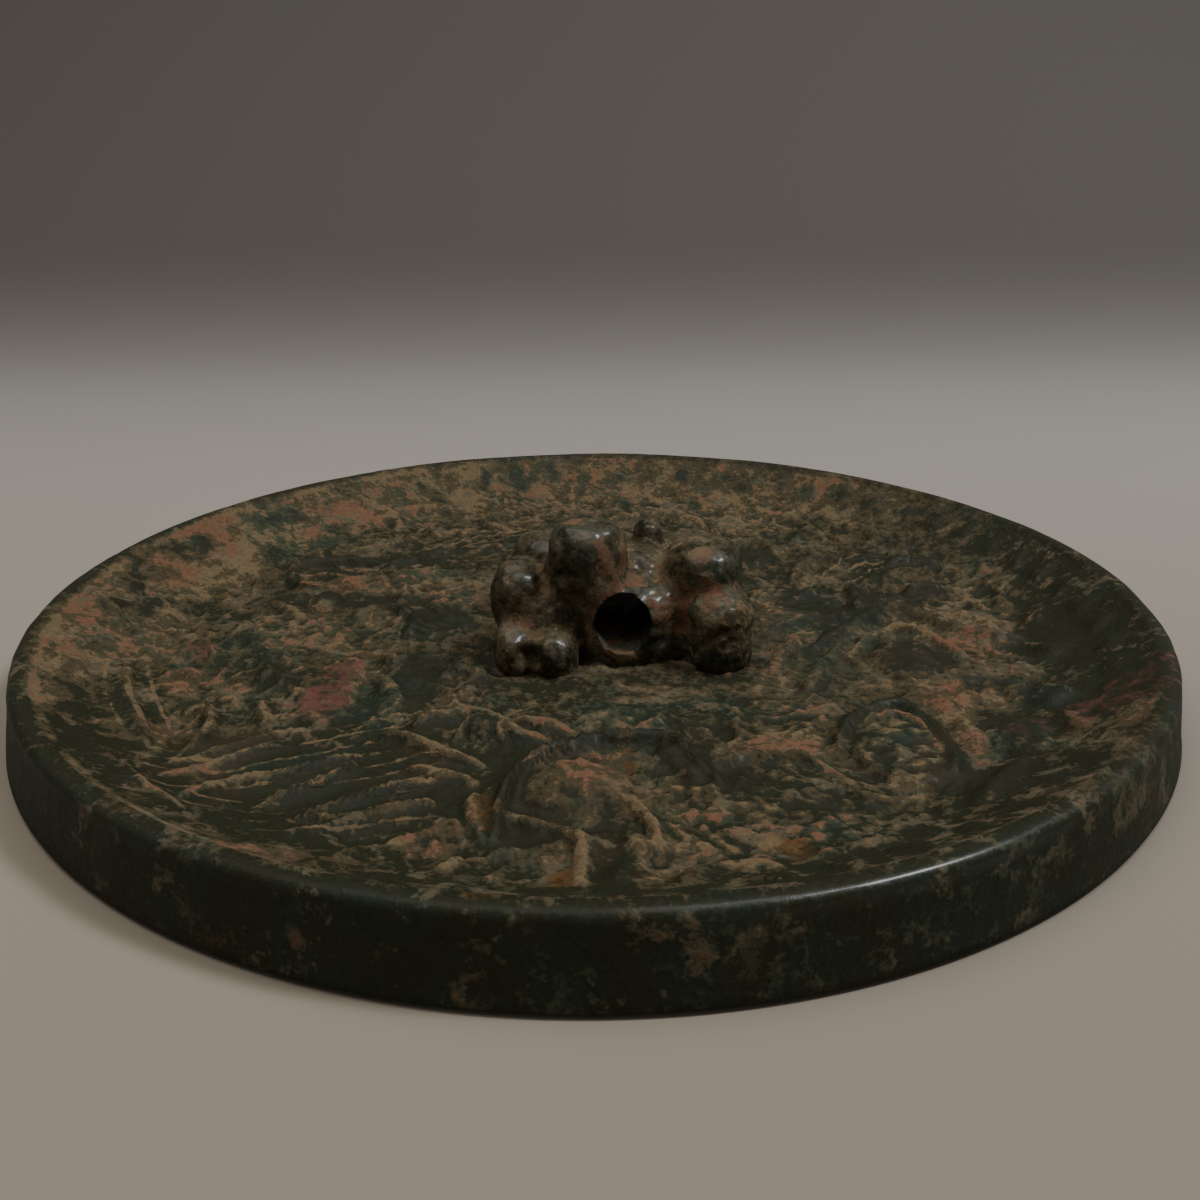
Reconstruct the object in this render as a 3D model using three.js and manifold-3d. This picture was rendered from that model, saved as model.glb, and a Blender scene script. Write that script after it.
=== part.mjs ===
// Ancient cast bronze mirror, lying on its polished face with the decorated back up.
// Millimetres, +Z up. The origin is the middle of the underside, which is the polished face.
// +X is to the right and +Y is away, as the mirror is seen with its cord hole facing the viewer.
import * as THREE from 'three';
import { mergeVertices } from 'three/addons/utils/BufferGeometryUtils.js';
import Module from 'manifold-3d';

// Disc
const discDiameter = 121;
const discHeight = 7.2;
const plateThickness = 1.4;
const wallFlare = 1;
const footBevel = 0.5;
const lipWidth = 2.1;
const lipRounding = 0.9;
const lipStep = 0.3;
const slopeWidth = 10.2;
const wallSegments = 96;
const slopeBands = 3;
const roundingSteps = 3;

// Border of sawteeth on the slope inside the lip
const toothCount = 64;
const toothLength = 3.8;
const toothHeight = 0.45;
const toothGapToLip = 0.5;
const toothWidthShare = 0.9;
const firstToothDegrees = 1.8;

// Relief on the floor of the dish
const reliefHeight = 1.9;
const ridgeStep = 3.8;
const swellSides = 10;
const rootDepth = 0.4 * plateThickness;

// Knob and its cord hole
const knobX = 2.9;
const knobY = 0;
const knobWidth = 28;
const knobDepth = 28;
const knobHeight = 14.8;
const cordHoleDiameter = 6;
const cordHoleHeight = 6.2;
const holeSides = 20;
const lumpSides = 14;
const lumpRings = 8;

const lipRadius = discDiameter / 2 - wallFlare;
const slopeTopRadius = lipRadius - lipWidth;
const floorRadius = slopeTopRadius - slopeWidth;
const slopeTopHeight = discHeight - lipStep;

const bronze = new THREE.MeshStandardMaterial({ color: 0x3a3a2c, roughness: 0.55, metalness: 0.6 });

const wasm = await Module();
wasm.setup();

// A closed geometry with shared corners becomes a solid that can be joined and cut.
function solidFrom(geometry) {
  const bare = geometry.clone();
  bare.deleteAttribute('normal');
  bare.deleteAttribute('uv');
  const merged = mergeVertices(bare, 1e-4);
  return new wasm.Manifold(new wasm.Mesh({
    numProp: 3,
    vertProperties: new Float32Array(merged.attributes.position.array),
    triVerts: new Uint32Array(merged.index.array),
  }));
}

function geometryFrom(solid) {
  const mesh = solid.getMesh();
  const geometry = new THREE.BufferGeometry();
  geometry.setAttribute('position', new THREE.BufferAttribute(new Float32Array(mesh.vertProperties), 3));
  geometry.setIndex(new THREE.BufferAttribute(new Uint32Array(mesh.triVerts), 1));
  return geometry;
}

// Height of the dish without its relief, at a distance from the middle.
function dishHeight(radius) {
  const climb = THREE.MathUtils.clamp((radius - floorRadius) / slopeWidth, 0, 1);
  const eased = 0.7 * climb + 0.3 * climb * climb;
  return plateThickness + (slopeTopHeight - plateThickness) * eased;
}

// The disc is one closed profile turned round the axis: flat foot, flared wall, lip, slope and floor.
function discSolid() {
  const profile = [new THREE.Vector2(0, 0)];
  profile.push(new THREE.Vector2(discDiameter / 2 - footBevel, 0));
  profile.push(new THREE.Vector2(discDiameter / 2, footBevel));
  for (let step = 0; step <= roundingSteps; step++) {
    const angle = (step / roundingSteps) * Math.PI / 2;
    profile.push(new THREE.Vector2(
      lipRadius - lipRounding + lipRounding * Math.cos(angle),
      discHeight - lipRounding + lipRounding * Math.sin(angle),
    ));
  }
  profile.push(new THREE.Vector2(slopeTopRadius + lipStep, discHeight));
  for (let band = 0; band <= slopeBands; band++) {
    const radius = slopeTopRadius - slopeWidth * band / slopeBands;
    profile.push(new THREE.Vector2(radius, dishHeight(radius)));
  }
  profile.push(new THREE.Vector2(0, plateThickness));
  const geometry = new THREE.LatheGeometry(profile, wallSegments);
  geometry.rotateX(Math.PI / 2);
  return solidFrom(geometry);
}

// One sawtooth: a raised triangle with its point towards the lip, following the slope.
function toothSolid(angle) {
  const tipRadius = slopeTopRadius - toothGapToLip;
  const baseRadius = tipRadius - toothLength;
  const halfAngle = toothWidthShare * Math.PI / toothCount;
  const corners = [
    [baseRadius, angle - halfAngle],
    [tipRadius, angle],
    [baseRadius, angle + halfAngle],
  ];
  const place = ([radius, turn], rise) => new THREE.Vector3(
    radius * Math.cos(turn),
    radius * Math.sin(turn),
    dishHeight(radius) + rise,
  );
  const sunk = corners.map((corner) => place(corner, -rootDepth));
  const raised = corners.map((corner) => place(corner, toothHeight));
  return loftSolid([sunk, raised]);
}

// Closed rings with the same number of corners, joined one to the next and capped at both ends.
function loftSolid(rings) {
  const count = rings[0].length;
  const positions = rings.flat().flatMap((point) => [point.x, point.y, point.z]);
  const index = [];
  for (let ring = 0; ring + 1 < rings.length; ring++) {
    for (let side = 0; side < count; side++) {
      const next = (side + 1) % count;
      const low = ring * count;
      const high = low + count;
      index.push(low + side, low + next, high + next);
      index.push(low + side, high + next, high + side);
    }
  }
  const last = (rings.length - 1) * count;
  for (let side = 1; side + 1 < count; side++) {
    index.push(0, side + 1, side);
    index.push(last, last + side, last + side + 1);
  }
  const geometry = new THREE.BufferGeometry();
  geometry.setAttribute('position', new THREE.Float32BufferAttribute(positions, 3));
  geometry.setIndex(index);
  const solid = solidFrom(geometry);
  if (solid.volume() > 0) {
    return solid;
  }
  for (let corner = 0; corner < index.length; corner += 3) {
    [index[corner + 1], index[corner + 2]] = [index[corner + 2], index[corner + 1]];
  }
  geometry.setIndex(index);
  return solidFrom(geometry);
}

// What reaches below a level is pressed up to it, into a shallow bowl that keeps its corners apart.
function flattenBelow(geometry, level) {
  const position = geometry.attributes.position;
  geometry.computeBoundingBox();
  const deepest = geometry.boundingBox.min.z;
  for (let corner = 0; corner < position.count; corner++) {
    const height = position.getZ(corner);
    if (height < 0) {
      position.setZ(corner, height * level / deepest);
    }
  }
}

const share = ([x, y]) => new THREE.Vector2(x * lipRadius, y * lipRadius);

// A ridge of the relief: a rounded band along a smooth line, lower and narrower at its ends.
function ridgeSolid({ along, width, rise }) {
  const line = new THREE.SplineCurve(along.map(share));
  const steps = Math.max(4, Math.round(line.getLength() / ridgeStep));
  const rings = [];
  for (let step = 0; step <= steps; step++) {
    const part = step / steps;
    const point = line.getPointAt(part);
    const heading = line.getTangentAt(part);
    const across = new THREE.Vector2(-heading.y, heading.x);
    const taper = 0.35 + 0.65 * Math.min(1, Math.sqrt(4 * Math.min(part, 1 - part)));
    const half = width * lipRadius / 2 * taper;
    const crest = rise * reliefHeight * taper;
    const ground = dishHeight(point.length());
    const section = [
      [-1, -rootDepth], [-0.68, 0.72 * crest], [0, crest], [0.68, 0.72 * crest], [1, -rootDepth],
    ];
    rings.push(section.map(([side, up]) => new THREE.Vector3(
      point.x + across.x * side * half,
      point.y + across.y * side * half,
      ground + up,
    )));
  }
  return loftSolid(rings);
}

// A swelling of the relief: an oval mound with a shallow root in the floor.
function swellSolid({ at, reach, rise, turn = 0 }) {
  const middle = share(at);
  const geometry = new THREE.SphereGeometry(1, swellSides, swellSides / 2);
  geometry.rotateX(Math.PI / 2);
  geometry.scale(reach[0] * lipRadius, reach[1] * lipRadius, rise * reliefHeight);
  flattenBelow(geometry, -rootDepth);
  geometry.rotateZ(THREE.MathUtils.degToRad(turn));
  geometry.translate(middle.x, middle.y, dishHeight(middle.length()));
  return solidFrom(geometry);
}

// Relief figures. Places, widths and reaches are shares of the lip's radius, rises are shares of
// the relief's height, and each ridge runs through the few points that its bend needs.
const figures = {
  haunchInFront: {
    ridges: [
      {
        width: 0.05,
        rise: 1,
        along: [
          [-0.13, -0.75], [-0.13, -0.66], [-0.1, -0.57], [-0.03, -0.51], [0.06, -0.49], [0.11, -0.5],
          [0.14, -0.55], [0.18, -0.62],
        ],
      },
      {
        width: 0.035,
        rise: 0.55,
        along: [[-0.14, -0.67], [-0.07, -0.71], [-0.02, -0.75], [-0.02, -0.86]],
      },
      { width: 0.055, rise: 0.5, along: [[0.05, -0.72], [0.05, -0.77], [0.02, -0.85]] },
      { width: 0.03, rise: 0.7, along: [[0.03, -0.63], [0.07, -0.7], [0.08, -0.75]] },
    ],
    swells: [{ at: [-0.03, -0.61], reach: [0.085, 0.065], rise: 0.85 }],
  },
  scaledBodyInFront: {
    ridges: [
      { width: 0.16, rise: 0.5, along: [[0.15, -0.64], [0.21, -0.64], [0.28, -0.63], [0.33, -0.64]] },
      { width: 0.12, rise: 0.42, along: [[0.12, -0.74], [0.19, -0.75], [0.27, -0.74], [0.35, -0.7]] },
      { width: 0.03, rise: 0.55, along: [[0.16, -0.56], [0.23, -0.53], [0.3, -0.53], [0.34, -0.57]] },
    ],
    swells: [],
  },
  curledLobe: {
    ridges: [
      {
        width: 0.036,
        rise: 0.95,
        along: [
          [0.355, -0.52], [0.385, -0.45], [0.42, -0.405], [0.465, -0.385], [0.5, -0.39], [0.52, -0.46],
          [0.525, -0.53], [0.495, -0.63],
        ],
      },
      {
        width: 0.028,
        rise: 0.5,
        along: [[0.335, -0.565], [0.37, -0.64], [0.41, -0.655], [0.455, -0.64]],
      },
      { width: 0.06, rise: 0.5, along: [[0.53, -0.3], [0.565, -0.36], [0.575, -0.46], [0.57, -0.535]] },
    ],
    swells: [{ at: [0.455, -0.515], reach: [0.075, 0.105], rise: 0.55 }],
  },
  headInFrontLeft: {
    ridges: [
      {
        width: 0.03,
        rise: 0.8,
        along: [[-0.235, -0.39], [-0.185, -0.395], [-0.15, -0.425], [-0.115, -0.46], [-0.075, -0.47]],
      },
      {
        width: 0.03,
        rise: 0.65,
        along: [[-0.33, -0.445], [-0.29, -0.46], [-0.23, -0.51], [-0.165, -0.54]],
      },
    ],
    swells: [{ at: [-0.18, -0.435], reach: [0.026, 0.028], rise: 0.95 }],
  },
  longFeathers: {
    ridges: [
      {
        width: 0.03,
        rise: 0.6,
        along: [[-0.605, -0.605], [-0.56, -0.54], [-0.51, -0.505], [-0.465, -0.46]],
      },
      {
        width: 0.034,
        rise: 0.7,
        along: [[-0.555, -0.665], [-0.52, -0.595], [-0.455, -0.57], [-0.35, -0.51]],
      },
      {
        width: 0.028,
        rise: 0.65,
        along: [[-0.46, -0.66], [-0.43, -0.625], [-0.395, -0.595], [-0.35, -0.54]],
      },
      {
        width: 0.028,
        rise: 0.7,
        along: [[-0.41, -0.685], [-0.36, -0.66], [-0.315, -0.625], [-0.23, -0.585]],
      },
      { width: 0.045, rise: 0.5, along: [[-0.405, -0.745], [-0.325, -0.685], [-0.225, -0.64]] },
    ],
    swells: [],
  },
  loopsOnTheLeft: {
    ridges: [
      {
        width: 0.034,
        rise: 0.6,
        along: [[-0.8, -0.235], [-0.77, -0.34], [-0.715, -0.42], [-0.67, -0.5]],
      },
      {
        width: 0.034,
        rise: 0.6,
        along: [[-0.665, -0.37], [-0.625, -0.375], [-0.6, -0.435], [-0.615, -0.525]],
      },
      {
        width: 0.03,
        rise: 0.65,
        along: [[-0.6, -0.145], [-0.575, -0.215], [-0.545, -0.255], [-0.505, -0.265], [-0.455, -0.255]],
      },
      { width: 0.036, rise: 0.55, along: [[-0.36, -0.26], [-0.335, -0.31], [-0.32, -0.365]] },
      { width: 0.03, rise: 0.55, along: [[-0.385, -0.175], [-0.35, -0.19], [-0.315, -0.175]] },
    ],
    swells: [{ at: [-0.44, -0.295], reach: [0.05, 0.135], rise: 0.5 }],
  },
  beastBehindLeft: {
    ridges: [
      {
        width: 0.05,
        rise: 0.9,
        along: [
          [-0.625, 0.18], [-0.65, 0.26], [-0.635, 0.31], [-0.515, 0.315], [-0.46, 0.295], [-0.41, 0.31],
          [-0.375, 0.365], [-0.305, 0.415],
        ],
      },
      { width: 0.034, rise: 0.65, along: [[-0.63, 0.21], [-0.605, 0.17], [-0.56, 0.17]] },
      { width: 0.03, rise: 0.6, along: [[-0.67, 0.095], [-0.625, 0.08], [-0.565, 0.01]] },
      {
        width: 0.036,
        rise: 0.75,
        along: [
          [-0.475, -0.005], [-0.445, 0.035], [-0.405, 0.05], [-0.365, 0.02], [-0.34, -0.02],
          [-0.355, -0.07],
        ],
      },
      { width: 0.07, rise: 0.5, along: [[-0.53, 0.22], [-0.435, 0.23], [-0.335, 0.28]] },
    ],
    swells: [{ at: [-0.545, 0.085], reach: [0.036, 0.042], rise: 0.85 }],
  },
  waveOnTheRight: {
    ridges: [
      {
        width: 0.046,
        rise: 0.9,
        along: [
          [0.38, -0.17], [0.45, -0.09], [0.51, -0.035], [0.55, 0.01], [0.6, 0.03], [0.635, 0],
          [0.665, -0.05], [0.705, -0.085], [0.795, -0.105],
        ],
      },
      {
        width: 0.028,
        rise: 0.65,
        along: [
          [0.46, -0.16], [0.51, -0.11], [0.565, -0.065], [0.605, -0.07], [0.63, -0.125],
          [0.665, -0.17],
        ],
      },
      {
        width: 0.03,
        rise: 0.65,
        along: [[0.36, -0.305], [0.395, -0.22], [0.435, -0.18], [0.475, -0.225]],
      },
      { width: 0.036, rise: 0.5, along: [[0.6, -0.26], [0.66, -0.27], [0.725, -0.295]] },
    ],
    swells: [
      { at: [0.55, -0.195], reach: [0.06, 0.07], rise: 0.95 },
      { at: [0.635, -0.47], reach: [0.05, 0.085], rise: 0.6 },
      { at: [0.735, -0.355], reach: [0.035, 0.04], rise: 0.5 },
      { at: [0.74, -0.25], reach: [0.026, 0.036], rise: 0.55 },
    ],
  },
  beastBehindRight: {
    ridges: [
      { width: 0.04, rise: 0.75, along: [[0.535, 0.2], [0.53, 0.11], [0.525, 0.05]] },
      { width: 0.042, rise: 0.65, along: [[0.645, 0.295], [0.715, 0.315], [0.75, 0.285]] },
      { width: 0.046, rise: 0.75, along: [[0.645, 0.14], [0.685, 0.15], [0.715, 0.12]] },
      { width: 0.042, rise: 0.6, along: [[0.425, 0.215], [0.465, 0.31], [0.52, 0.36], [0.555, 0.31]] },
      { width: 0.05, rise: 0.7, along: [[0.26, 0.34], [0.3, 0.43], [0.38, 0.46], [0.42, 0.39]] },
      { width: 0.05, rise: 0.6, along: [[0.46, 0.46], [0.52, 0.56], [0.48, 0.66]] },
    ],
    swells: [{ at: [0.35, 0.35], reach: [0.06, 0.06], rise: 0.6 }],
  },
  bodyBehindTheKnob: {
    ridges: [
      { width: 0.13, rise: 0.6, along: [[-0.3, 0.41], [-0.12, 0.5], [0.08, 0.51], [0.25, 0.44]] },
      { width: 0.05, rise: 0.6, along: [[-0.2, 0.55], [-0.27, 0.63], [-0.2, 0.73]] },
      { width: 0.045, rise: 0.6, along: [[0, 0.6], [0.1, 0.67], [0.22, 0.67], [0.28, 0.58]] },
    ],
    swells: [],
  },
};

// A lump of the knob. Its place and reach are in knob shares: across, deep and high.
// Square runs from 1, a round egg, down to about 0.5, a post with a rounded top.
function lumpSolid({ at, reach, square }) {
  const geometry = new THREE.SphereGeometry(1, lumpSides, lumpRings);
  geometry.rotateX(Math.PI / 2);
  const position = geometry.attributes.position;
  for (let corner = 0; corner < position.count; corner++) {
    const out = Math.hypot(position.getX(corner), position.getY(corner));
    const up = position.getZ(corner);
    const wider = out > 1e-6 ? Math.pow(out, square) / out : 0;
    position.setXYZ(
      corner,
      position.getX(corner) * wider,
      position.getY(corner) * wider,
      Math.sign(up) * Math.pow(Math.abs(up), square),
    );
  }
  geometry.scale(reach[0] * knobWidth / 2, reach[1] * knobDepth / 2, reach[2] * knobHeight);
  geometry.translate(knobX + at[0] * knobWidth / 2, knobY + at[1] * knobDepth / 2, at[2] * knobHeight);
  flattenBelow(geometry, -rootDepth);
  geometry.translate(0, 0, plateThickness);
  return solidFrom(geometry);
}

// The knob is a crouching beast worn to rounded lumps, with the cord hole through its belly.
const lumps = {
  belly: { at: [0.04, -0.08, 0.21], reach: [0.68, 0.82, 0.39], square: 0.6 },
  head: { at: [-0.27, -0.5, 0.56], reach: [0.32, 0.34, 0.44], square: 0.55 },
  cheek: { at: [-0.77, -0.46, 0.41], reach: [0.24, 0.33, 0.29], square: 0.8 },
  leftPaw: { at: [-0.82, -0.8, 0.12], reach: [0.16, 0.25, 0.21], square: 0.8 },
  innerPaw: { at: [-0.52, -0.86, 0.1], reach: [0.2, 0.2, 0.2], square: 0.8 },
  rightHaunch: { at: [0.72, -0.67, 0.21], reach: [0.28, 0.35, 0.33], square: 0.65 },
  rightShoulder: { at: [0.63, -0.38, 0.57], reach: [0.32, 0.38, 0.25], square: 0.75 },
  spine: { at: [0.24, 0.25, 0.64], reach: [0.13, 0.19, 0.17], square: 0.8 },
  leftHip: { at: [-0.55, 0.4, 0.27], reach: [0.38, 0.46, 0.39], square: 0.7 },
  rightHip: { at: [0.6, 0.4, 0.25], reach: [0.36, 0.46, 0.37], square: 0.7 },
  leftHeel: { at: [-0.45, 0.84, 0.1], reach: [0.22, 0.16, 0.2], square: 0.8 },
  rightHeel: { at: [0.5, 0.84, 0.1], reach: [0.22, 0.16, 0.2], square: 0.8 },
};

// The cord hole runs from front to back through the knob, above the floor of the dish.
function cordHoleSolid() {
  const flatsRadius = cordHoleDiameter / 2 / Math.cos(Math.PI / holeSides);
  return solidFrom(new THREE.CylinderGeometry(flatsRadius, flatsRadius, 2 * knobDepth, holeSides)
    .translate(knobX, knobY, cordHoleHeight));
}

function mirrorSolid() {
  const raised = [];
  for (let tooth = 0; tooth < toothCount; tooth++) {
    const turn = firstToothDegrees + tooth * 360 / toothCount;
    raised.push(toothSolid(THREE.MathUtils.degToRad(turn)));
  }
  for (const figure of Object.values(figures)) {
    raised.push(...figure.ridges.map(ridgeSolid));
    raised.push(...figure.swells.map(swellSolid));
  }
  const knob = Object.values(lumps)
    .map(lumpSolid)
    .reduce((joined, lump) => joined.add(lump));
  const carved = raised.reduce((joined, form) => joined.add(form), discSolid());
  return carved.add(knob).subtract(cordHoleSolid());
}

const mirror = new THREE.Mesh(geometryFrom(mirrorSolid()), bronze);
mirror.name = 'mirror';

const group = new THREE.Group();
group.add(mirror);

export default group;
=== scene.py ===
import math

import bmesh
import bpy
import numpy as np
from mathutils import Matrix, Vector, noise


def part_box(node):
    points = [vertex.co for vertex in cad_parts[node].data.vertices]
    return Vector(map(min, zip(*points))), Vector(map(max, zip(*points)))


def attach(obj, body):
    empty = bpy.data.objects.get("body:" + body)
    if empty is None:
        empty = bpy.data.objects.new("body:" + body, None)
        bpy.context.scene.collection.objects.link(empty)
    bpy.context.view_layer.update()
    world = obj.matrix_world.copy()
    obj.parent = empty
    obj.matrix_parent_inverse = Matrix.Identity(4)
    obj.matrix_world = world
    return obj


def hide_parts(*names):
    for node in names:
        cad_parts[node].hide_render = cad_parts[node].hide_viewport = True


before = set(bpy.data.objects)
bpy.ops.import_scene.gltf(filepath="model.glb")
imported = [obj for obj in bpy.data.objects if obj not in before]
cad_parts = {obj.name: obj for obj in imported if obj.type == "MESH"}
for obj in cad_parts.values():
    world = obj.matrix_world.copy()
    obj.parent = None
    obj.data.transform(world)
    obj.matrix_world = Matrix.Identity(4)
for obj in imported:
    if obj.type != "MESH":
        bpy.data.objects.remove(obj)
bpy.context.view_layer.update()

# Disc, in metres, with the sizes of the solid
low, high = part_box("mirror")
FOOT_RADIUS = (high[0] - low[0]) / 2
WALL_FLARE = 0.001
LIP_RADIUS = FOOT_RADIUS - WALL_FLARE
RIM_HEIGHT = 0.0072
PLATE = 0.0014
FOOT_BEVEL = 0.0005
LIP_WIDTH = 0.0021
LIP_ROUNDING = 0.0009
LIP_STEP = 0.0003
SLOPE_WIDTH = 0.0102
SLOPE_TOP_RADIUS = LIP_RADIUS - LIP_WIDTH
FLOOR_RADIUS = SLOPE_TOP_RADIUS - SLOPE_WIDTH

# Sawteeth
TOOTH_COUNT = 64
TOOTH_LENGTH = 0.0038
TOOTH_HEIGHT = 0.00045
TOOTH_GAP = 0.0005
FIRST_TOOTH = math.radians(1.8)

# Relief
RELIEF_HEIGHT = 0.0019
TURN_STEPS = 640
RING_GAP = 0.0005
KNOB_HIDES_RADIUS = 0.0105
SCALE_SIZE = 0.026

# Knob
KNOB_X = 0.0029
KNOB_Y = 0.0
KNOB_WIDTH = 0.028
KNOB_DEPTH = 0.028
KNOB_HEIGHT = high[2] - PLATE
HOLE_RADIUS = 0.003
HOLE_HEIGHT = 0.0062
KNOB_VOXEL = 0.00036

# Camera, fitted to the rim and the sawteeth
CAMERA_BACK = 0.1119
CAMERA_UP = 0.0487
CAMERA_PITCH = 0.3774
CAMERA_YAW = 0.0055
CAMERA_ROLL = -0.0047
CAMERA_LENS = 31.5


# Relief figures: width, rise and the points that the ridge runs through. Places, widths and reaches
# are shares of the lip's radius, rises are shares of the relief's height. The first ones of each
# figure are the solid's own, and the finer ones after them are only here.
HAUNCH_IN_FRONT = [
    (0.036, 1.05, [(-0.13, -0.75), (-0.13, -0.66), (-0.1, -0.57), (-0.03, -0.51), (0.06, -0.49),
                   (0.11, -0.5), (0.14, -0.55), (0.18, -0.62)]),
    (0.035, 0.55, [(-0.14, -0.67), (-0.07, -0.71), (-0.02, -0.75), (-0.02, -0.86)]),
    (0.055, 0.5, [(0.05, -0.72), (0.05, -0.77), (0.02, -0.85)]),
    (0.03, 0.7, [(0.03, -0.63), (0.07, -0.7), (0.08, -0.75)]),
    (0.07, 0.7, [(0.09, -0.51), (0.13, -0.55), (0.15, -0.6)]),
    (0.04, 0.5, [(-0.17, -0.62), (-0.16, -0.69), (-0.14, -0.75)]),
    (0.03, 0.45, [(-0.19, -0.83), (-0.16, -0.79), (-0.09, -0.76)]),
    (0.032, 0.4, [(-0.13, -0.86), (-0.1, -0.8), (-0.05, -0.78)]),
]
SCALED_BODY_IN_FRONT = [
    (0.16, 0.5, [(0.15, -0.64), (0.21, -0.64), (0.28, -0.63), (0.33, -0.64)]),
    (0.12, 0.42, [(0.12, -0.74), (0.19, -0.75), (0.27, -0.74), (0.35, -0.7)]),
    (0.03, 0.55, [(0.16, -0.56), (0.23, -0.53), (0.3, -0.53), (0.34, -0.57)]),
    (0.03, 0.4, [(0.1, -0.86), (0.15, -0.82), (0.22, -0.83)]),
    (0.03, 0.4, [(0.25, -0.83), (0.31, -0.79), (0.38, -0.78)]),
]
CURLED_LOBE = [
    (0.025, 0.85, [(0.355, -0.52), (0.385, -0.45), (0.42, -0.405), (0.465, -0.385), (0.5, -0.39),
                   (0.52, -0.46), (0.525, -0.53), (0.495, -0.63)]),
    (0.028, 0.5, [(0.335, -0.565), (0.37, -0.64), (0.41, -0.655), (0.455, -0.64)]),
    (0.06, 0.5, [(0.53, -0.3), (0.565, -0.36), (0.575, -0.46), (0.57, -0.535)]),
    (0.02, 0.62, [(0.4, -0.46), (0.44, -0.42), (0.48, -0.41), (0.5, -0.45), (0.505, -0.53)]),
    (0.03, 0.45, [(0.62, -0.56), (0.56, -0.62), (0.5, -0.7)]),
]
HEAD_IN_FRONT_LEFT = [
    (0.03, 0.8, [(-0.235, -0.39), (-0.185, -0.395), (-0.15, -0.425), (-0.115, -0.46), (-0.075, -0.47)]),
    (0.03, 0.65, [(-0.33, -0.445), (-0.29, -0.46), (-0.23, -0.51), (-0.165, -0.54)]),
    (0.03, 0.6, [(-0.285, -0.435), (-0.255, -0.4), (-0.215, -0.4)]),
    (0.02, 0.75, [(-0.215, -0.47), (-0.2, -0.44), (-0.18, -0.425), (-0.155, -0.435), (-0.14, -0.47)]),
    (0.025, 0.55, [(-0.13, -0.41), (-0.09, -0.42), (-0.04, -0.44)]),
    (0.03, 0.45, [(-0.27, -0.55), (-0.21, -0.57), (-0.16, -0.6)]),
]
LONG_FEATHERS = [
    (0.022, 0.5, [(-0.605, -0.605), (-0.56, -0.54), (-0.51, -0.505), (-0.465, -0.46)]),
    (0.024, 0.6, [(-0.555, -0.665), (-0.52, -0.595), (-0.455, -0.57), (-0.35, -0.51)]),
    (0.02, 0.55, [(-0.46, -0.66), (-0.43, -0.625), (-0.395, -0.595), (-0.35, -0.54)]),
    (0.02, 0.6, [(-0.41, -0.685), (-0.36, -0.66), (-0.315, -0.625), (-0.23, -0.585)]),
    (0.04, 0.45, [(-0.405, -0.745), (-0.325, -0.685), (-0.225, -0.64)]),
    (0.026, 0.4, [(-0.32, -0.81), (-0.27, -0.75), (-0.21, -0.71)]),
    (0.02, 0.45, [(-0.62, -0.55), (-0.56, -0.5), (-0.5, -0.46), (-0.44, -0.43)]),
    (0.022, 0.4, [(-0.66, -0.6), (-0.61, -0.66), (-0.54, -0.71)]),
]
LOOPS_ON_THE_LEFT = [
    (0.034, 0.6, [(-0.8, -0.235), (-0.77, -0.34), (-0.715, -0.42), (-0.67, -0.5)]),
    (0.034, 0.6, [(-0.665, -0.37), (-0.625, -0.375), (-0.6, -0.435), (-0.615, -0.525)]),
    (0.03, 0.65, [(-0.6, -0.145), (-0.575, -0.215), (-0.545, -0.255), (-0.505, -0.265), (-0.455, -0.255)]),
    (0.036, 0.55, [(-0.36, -0.26), (-0.335, -0.31), (-0.32, -0.365)]),
    (0.03, 0.55, [(-0.385, -0.175), (-0.35, -0.19), (-0.315, -0.175)]),
    (0.026, 0.5, [(-0.75, -0.255), (-0.715, -0.24), (-0.67, -0.245)]),
    (0.022, 0.5, [(-0.735, -0.17), (-0.74, -0.125), (-0.715, -0.115), (-0.685, -0.155), (-0.68, -0.2)]),
    (0.02, 0.5, [(-0.535, -0.195), (-0.555, -0.17), (-0.55, -0.145), (-0.52, -0.155)]),
    (0.022, 0.5, [(-0.51, -0.3), (-0.465, -0.33), (-0.44, -0.31)]),
    (0.026, 0.45, [(-0.285, -0.21), (-0.23, -0.23), (-0.185, -0.25)]),
    (0.026, 0.45, [(-0.55, -0.33), (-0.52, -0.39), (-0.46, -0.4)]),
    (0.026, 0.45, [(-0.69, -0.05), (-0.64, -0.08), (-0.6, -0.06)]),
]
BEAST_BEHIND_LEFT = [
    (0.05, 0.9, [(-0.625, 0.18), (-0.65, 0.26), (-0.635, 0.31), (-0.515, 0.315), (-0.46, 0.295),
                 (-0.41, 0.31), (-0.375, 0.365), (-0.305, 0.415)]),
    (0.034, 0.65, [(-0.63, 0.21), (-0.605, 0.17), (-0.56, 0.17)]),
    (0.03, 0.6, [(-0.67, 0.095), (-0.625, 0.08), (-0.565, 0.01)]),
    (0.036, 0.75, [(-0.475, -0.005), (-0.445, 0.035), (-0.405, 0.05), (-0.365, 0.02),
                   (-0.34, -0.02), (-0.355, -0.07)]),
    (0.07, 0.5, [(-0.53, 0.22), (-0.435, 0.23), (-0.335, 0.28)]),
    (0.03, 0.4, [(-0.76, 0.29), (-0.72, 0.23), (-0.7, 0.13)]),
    (0.03, 0.45, [(-0.42, 0.14), (-0.36, 0.12), (-0.31, 0.15)]),
    (0.03, 0.45, [(-0.55, 0.42), (-0.48, 0.46), (-0.42, 0.53)]),
]
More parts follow.
